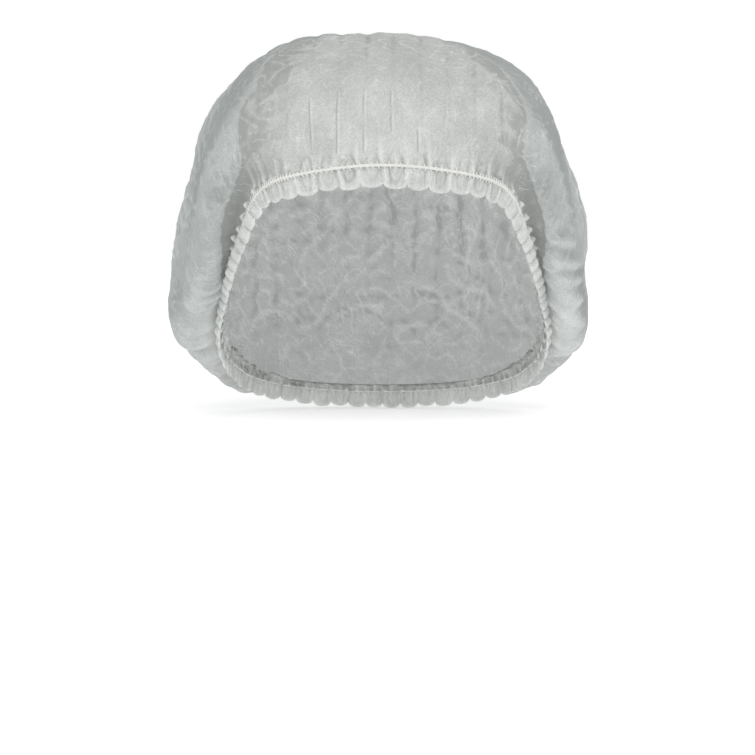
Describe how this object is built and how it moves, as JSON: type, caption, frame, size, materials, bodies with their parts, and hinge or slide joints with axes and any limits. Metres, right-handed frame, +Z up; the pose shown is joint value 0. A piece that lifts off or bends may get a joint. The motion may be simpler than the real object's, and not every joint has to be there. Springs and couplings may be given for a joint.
{
  "type": "disposable pleated cap",
  "caption": "Single-use cap of thin gathered non-woven cloth in its worn form, with a puffed crown, a frill round the opening and an elastic loop that holds it on the head.",
  "frame": {"origin": "the point inside the crown that rests on top of the head", "axes": "+X towards the wearer's left side, +Y towards the nape, +Z up"},
  "size_m": [0.2201, 0.2321, 0.198],
  "materials": {
    "cloth": "matte, thin and slightly see-through",
    "elastic": "matte"
  },
  "bodies": {
    "root": {"crown": "cloth", "frill": "cloth", "elastic": "elastic"}
  },
  "joints": []
}
